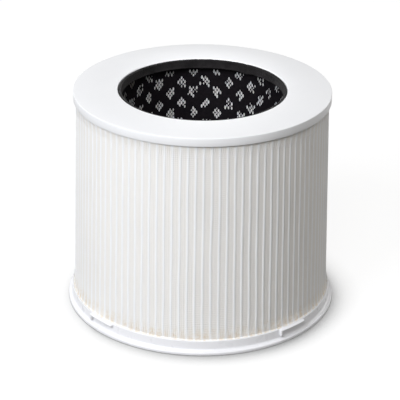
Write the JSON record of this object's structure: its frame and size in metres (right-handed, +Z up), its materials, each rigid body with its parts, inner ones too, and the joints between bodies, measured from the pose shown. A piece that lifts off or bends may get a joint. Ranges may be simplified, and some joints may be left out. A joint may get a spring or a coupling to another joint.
{
  "type": "air purifier filter",
  "caption": "Drum-shaped air purifier filter: pleated paper under a fine net between white moulded caps, with a perforated liner inside.",
  "frame": {"origin": "centre of the rim that the filter stands on, at floor level", "axes": "+Z up along the filter's axis, towards the open mouth; the picture looks along +Y, with +X to its right"},
  "size_m": [0.19, 0.19, 0.156],
  "materials": {
    "cap_plastic": "smooth white moulded plastic",
    "filter_paper": "soft white folded filter paper",
    "net_thread": "fine white nylon net",
    "liner_black": "matt black, perforated",
    "foam_grey": "dark grey open-cell foam",
    "potting_glue": "set amber glue"
  },
  "bodies": {
    "root": {"top_cap": "cap_plastic", "bottom_cap": "cap_plastic", "pleated_media": "filter_paper", "prefilter_net": "net_thread", "carbon_liner": "liner_black", "foam_seal": "foam_grey", "top_potting": "potting_glue", "bottom_potting": "potting_glue"}
  },
  "joints": []
}
